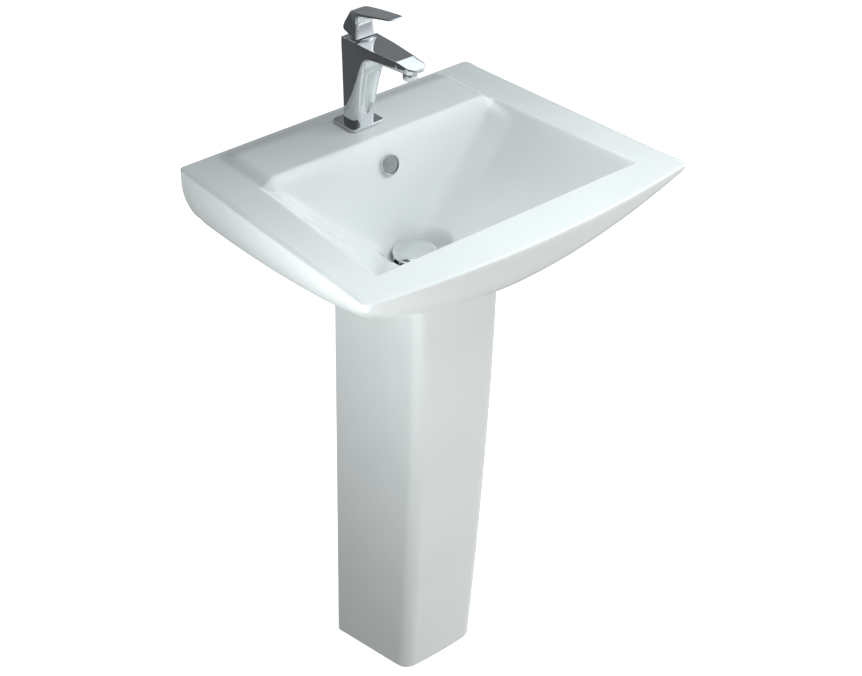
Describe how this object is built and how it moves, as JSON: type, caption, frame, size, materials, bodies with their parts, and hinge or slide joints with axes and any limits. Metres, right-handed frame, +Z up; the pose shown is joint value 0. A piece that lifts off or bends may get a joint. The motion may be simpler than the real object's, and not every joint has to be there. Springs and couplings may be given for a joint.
{
  "type": "pedestal sink",
  "caption": "Glazed ceramic basin with a bowed front on a hollow column, with a single lever mixer tap, push waste, overflow and bottle trap.",
  "frame": {"origin": "on the floor, on the centre line, midway between the wall face and the front edge", "axes": "+Z up, -Y to the front of the basin, +X to the right seen from the front; the wall face is the plane at the +Y end"},
  "size_m": [0.55, 0.449, 1.0364],
  "materials": {
    "china": "glossy white glaze",
    "chrome": "polished",
    "brass": "machined",
    "copper_pipe": "drawn copper pipe",
    "steel": "satin",
    "rubber": "matt",
    "sealant": "white silicone",
    "polymer": "moulded"
  },
  "bodies": {
    "sink": {"basin": "china", "pedestal": "china", "pedestal_seal": "sealant", "overflow_ring": "chrome", "waste_body": "chrome", "trap_inlet_nut": "chrome", "trap_inlet_tube": "chrome", "trap_top_nut": "chrome", "trap_body": "chrome", "trap_cup": "chrome", "trap_outlet_nut": "chrome", "trap_elbow": "chrome", "outlet_tube": "chrome", "tap_plate": "chrome", "tap_body": "chrome", "aerator_housing": "chrome", "tap_collar": "chrome", "waste_gasket": "rubber", "waste_seal": "rubber", "trap_washer": "rubber", "tap_gasket": "rubber", "fixing_seal": "rubber", "waste_backnut": "brass", "click_housing": "brass", "cartridge_nut": "brass", "fixing_stud": "brass", "fixing_nut": "brass", "overflow_disc": "steel", "fixing_washer": "steel", "aerator_insert": "polymer", "cartridge": "polymer", "hot_tail": "copper_pipe", "cold_tail": "copper_pipe"},
    "mixer_carrier": {"stem_carrier": "polymer", "stem_pin": "steel"},
    "mixer_lever": {"lever": "chrome", "lever_stem": "steel", "grub_screw": "steel", "index_cap": "polymer"},
    "plug": {"plug_cap": "chrome", "plug_seal": "rubber", "plug_stem": "steel", "click_spring": "steel"}
  },
  "joints": [
    {"name": "lever_swivel", "type": "hinge", "parent": "sink", "child": "mixer_carrier", "pos_m": [0, 0.1465, 0.973], "axis": [0, 0, 1], "range_deg": [-45, 45]},
    {"name": "lever_lift", "type": "hinge", "parent": "mixer_carrier", "child": "mixer_lever", "pos_m": [0, 0.1465, 0.973], "axis": [-1, 0, 0], "range_deg": [0, 20]},
    {"name": "plug_push", "type": "slide", "parent": "sink", "child": "plug", "axis": [0, 0, 1], "range_m": [-0.006, 0], "stiffness_N_per_m": 300, "springref_m": 0.01, "deforming": ["click_spring"]}
  ]
}
